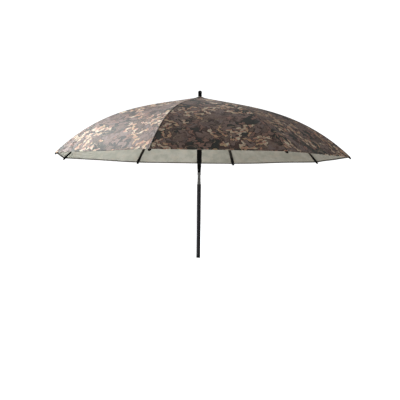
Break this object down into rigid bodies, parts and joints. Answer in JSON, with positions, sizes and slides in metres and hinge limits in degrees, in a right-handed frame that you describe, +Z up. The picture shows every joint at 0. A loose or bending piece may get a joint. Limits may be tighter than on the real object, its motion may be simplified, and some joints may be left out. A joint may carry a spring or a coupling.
{
  "type": "fishing umbrella",
  "caption": "Open camouflage fishing umbrella: hinged ribs and stretchers under a domed cloth canopy, on a tubular pole with a tilt joint; the runner folds it.",
  "frame": {"origin": "centre of the pole's flat lower end", "axes": "+Z up the pole towards the finial, -Y towards the viewer of the picture, +X to its right; the first rib is 15.8 degrees clockwise from +X seen from above"},
  "size_m": [1.9282, 1.9282, 1.1214],
  "materials": {
    "black_plastic": "moulded, satin black",
    "coated_tube": "powder coat, dark grey, half gloss",
    "coated_rod": "black coated rod, half gloss",
    "zinc_plate": "bright zinc plate, slightly worn",
    "camouflage_cloth": "woven, printed outside, plain grey-green inside"
  },
  "bodies": {
    "pole": {"lower_tube": "coated_tube", "end_cap": "black_plastic", "tilt_tongue": "zinc_plate", "tilt_fork": "zinc_plate", "tilt_rivet": "zinc_plate", "tilt_ferrule": "black_plastic", "upper_tube": "coated_tube", "crown": "black_plastic", "crown_wire": "zinc_plate", "finial": "black_plastic"},
    "runner": {"runner": "black_plastic"},
    "lock": {"lock_pin": "zinc_plate"},
    "rib_1": {"rib_1": "coated_rod", "rib_tip_1": "black_plastic", "rib_clip_1": "black_plastic", "rib_rivet_1": "zinc_plate", "canopy_panel_1": "camouflage_cloth"},
    "stretcher_1": {"stretcher_1": "coated_rod"},
    "rib_2": {"rib_2": "coated_rod", "rib_tip_2": "black_plastic", "rib_clip_2": "black_plastic", "rib_rivet_2": "zinc_plate", "canopy_panel_2": "camouflage_cloth"},
    "stretcher_2": {"stretcher_2": "coated_rod"},
    "rib_3": {"rib_3": "coated_rod", "rib_tip_3": "black_plastic", "rib_clip_3": "black_plastic", "rib_rivet_3": "zinc_plate", "canopy_panel_3": "camouflage_cloth"},
    "stretcher_3": {"stretcher_3": "coated_rod"},
    "rib_4": {"rib_4": "coated_rod", "rib_tip_4": "black_plastic", "rib_clip_4": "black_plastic", "rib_rivet_4": "zinc_plate", "canopy_panel_4": "camouflage_cloth"},
    "stretcher_4": {"stretcher_4": "coated_rod"},
    "rib_5": {"rib_5": "coated_rod", "rib_tip_5": "black_plastic", "rib_clip_5": "black_plastic", "rib_rivet_5": "zinc_plate", "canopy_panel_5": "camouflage_cloth"},
    "stretcher_5": {"stretcher_5": "coated_rod"},
    "rib_6": {"rib_6": "coated_rod", "rib_tip_6": "black_plastic", "rib_clip_6": "black_plastic", "rib_rivet_6": "zinc_plate", "canopy_panel_6": "camouflage_cloth"},
    "stretcher_6": {"stretcher_6": "coated_rod"},
    "rib_7": {"rib_7": "coated_rod", "rib_tip_7": "black_plastic", "rib_clip_7": "black_plastic", "rib_rivet_7": "zinc_plate", "canopy_panel_7": "camouflage_cloth"},
    "stretcher_7": {"stretcher_7": "coated_rod"},
    "rib_8": {"rib_8": "coated_rod", "rib_tip_8": "black_plastic", "rib_clip_8": "black_plastic", "rib_rivet_8": "zinc_plate", "canopy_panel_8": "camouflage_cloth"},
    "stretcher_8": {"stretcher_8": "coated_rod"}
  },
  "joints": [
    {"name": "runner_slide", "type": "slide", "parent": "pole", "child": "runner", "axis": [0, 0, -1], "range_m": [0, 0.58769], "deforming": ["canopy_panel_1", "canopy_panel_2", "canopy_panel_3", "canopy_panel_4", "canopy_panel_5", "canopy_panel_6", "canopy_panel_7", "canopy_panel_8"]},
    {"name": "lock_push", "type": "slide", "parent": "runner", "child": "lock", "axis": [0.1167, -0.9932, 0], "range_m": [0, 0.0045]},
    {"name": "rib_hinge_1", "type": "hinge", "parent": "pole", "child": "rib_1", "pos_m": [0.02261, -0.0064, 1.06905], "axis": [0.2723, 0.9622, 0], "range_deg": [0, 67.02]},
    {"name": "stretcher_hinge_1", "type": "hinge", "parent": "rib_1", "child": "stretcher_1", "pos_m": [0.43077, -0.1219, 0.96854], "axis": [-0.2723, -0.9622, 0], "range_deg": [0, 121.94]},
    {"name": "rib_hinge_2", "type": "hinge", "parent": "pole", "child": "rib_2", "pos_m": [0.02051, 0.01146, 1.06905], "axis": [-0.4879, 0.8729, 0], "range_deg": [0, 67.02]},
    {"name": "stretcher_hinge_2", "type": "hinge", "parent": "rib_2", "child": "stretcher_2", "pos_m": [0.3908, 0.21841, 0.96854], "axis": [0.4879, -0.8729, 0], "range_deg": [0, 121.94]},
    {"name": "rib_hinge_3", "type": "hinge", "parent": "pole", "child": "rib_3", "pos_m": [0.0064, 0.02261, 1.06905], "axis": [-0.9622, 0.2723, 0], "range_deg": [0, 67.02]},
    {"name": "stretcher_hinge_3", "type": "hinge", "parent": "rib_3", "child": "stretcher_3", "pos_m": [0.1219, 0.43077, 0.96854], "axis": [0.9622, -0.2723, 0], "range_deg": [0, 121.94]},
    {"name": "rib_hinge_4", "type": "hinge", "parent": "pole", "child": "rib_4", "pos_m": [-0.01146, 0.02051, 1.06905], "axis": [-0.8729, -0.4879, 0], "range_deg": [0, 67.02]},
    {"name": "stretcher_hinge_4", "type": "hinge", "parent": "rib_4", "child": "stretcher_4", "pos_m": [-0.21841, 0.3908, 0.96854], "axis": [0.8729, 0.4879, 0], "range_deg": [0, 121.94]},
    {"name": "rib_hinge_5", "type": "hinge", "parent": "pole", "child": "rib_5", "pos_m": [-0.02261, 0.0064, 1.06905], "axis": [-0.2723, -0.9622, 0], "range_deg": [0, 67.02]},
    {"name": "stretcher_hinge_5", "type": "hinge", "parent": "rib_5", "child": "stretcher_5", "pos_m": [-0.43077, 0.1219, 0.96854], "axis": [0.2723, 0.9622, 0], "range_deg": [0, 121.94]},
    {"name": "rib_hinge_6", "type": "hinge", "parent": "pole", "child": "rib_6", "pos_m": [-0.02051, -0.01146, 1.06905], "axis": [0.4879, -0.8729, 0], "range_deg": [0, 67.02]},
    {"name": "stretcher_hinge_6", "type": "hinge", "parent": "rib_6", "child": "stretcher_6", "pos_m": [-0.3908, -0.21841, 0.96854], "axis": [-0.4879, 0.8729, 0], "range_deg": [0, 121.94]},
    {"name": "rib_hinge_7", "type": "hinge", "parent": "pole", "child": "rib_7", "pos_m": [-0.0064, -0.02261, 1.06905], "axis": [0.9622, -0.2723, 0], "range_deg": [0, 67.02]},
    {"name": "stretcher_hinge_7", "type": "hinge", "parent": "rib_7", "child": "stretcher_7", "pos_m": [-0.1219, -0.43077, 0.96854], "axis": [-0.9622, 0.2723, 0], "range_deg": [0, 121.94]},
    {"name": "rib_hinge_8", "type": "hinge", "parent": "pole", "child": "rib_8", "pos_m": [0.01146, -0.02051, 1.06905], "axis": [0.8729, 0.4879, 0], "range_deg": [0, 67.02]},
    {"name": "stretcher_hinge_8", "type": "hinge", "parent": "rib_8", "child": "stretcher_8", "pos_m": [0.21841, -0.3908, 0.96854], "axis": [-0.8729, -0.4879, 0], "range_deg": [0, 121.94]}
  ],
  "couplings": [
    {"joint": "rib_hinge_1", "follows": "runner_slide", "rad_per_m": 1.9902},
    {"joint": "stretcher_hinge_1", "follows": "runner_slide", "rad_per_m": 3.6212},
    {"joint": "rib_hinge_2", "follows": "runner_slide", "rad_per_m": 1.9902},
    {"joint": "stretcher_hinge_2", "follows": "runner_slide", "rad_per_m": 3.6212},
    {"joint": "rib_hinge_3", "follows": "runner_slide", "rad_per_m": 1.9902},
    {"joint": "stretcher_hinge_3", "follows": "runner_slide", "rad_per_m": 3.6212},
    {"joint": "rib_hinge_4", "follows": "runner_slide", "rad_per_m": 1.9902},
    {"joint": "stretcher_hinge_4", "follows": "runner_slide", "rad_per_m": 3.6212},
    {"joint": "rib_hinge_5", "follows": "runner_slide", "rad_per_m": 1.9902},
    {"joint": "stretcher_hinge_5", "follows": "runner_slide", "rad_per_m": 3.6212},
    {"joint": "rib_hinge_6", "follows": "runner_slide", "rad_per_m": 1.9902},
    {"joint": "stretcher_hinge_6", "follows": "runner_slide", "rad_per_m": 3.6212},
    {"joint": "rib_hinge_7", "follows": "runner_slide", "rad_per_m": 1.9902},
    {"joint": "stretcher_hinge_7", "follows": "runner_slide", "rad_per_m": 3.6212},
    {"joint": "rib_hinge_8", "follows": "runner_slide", "rad_per_m": 1.9902},
    {"joint": "stretcher_hinge_8", "follows": "runner_slide", "rad_per_m": 3.6212}
  ]
}
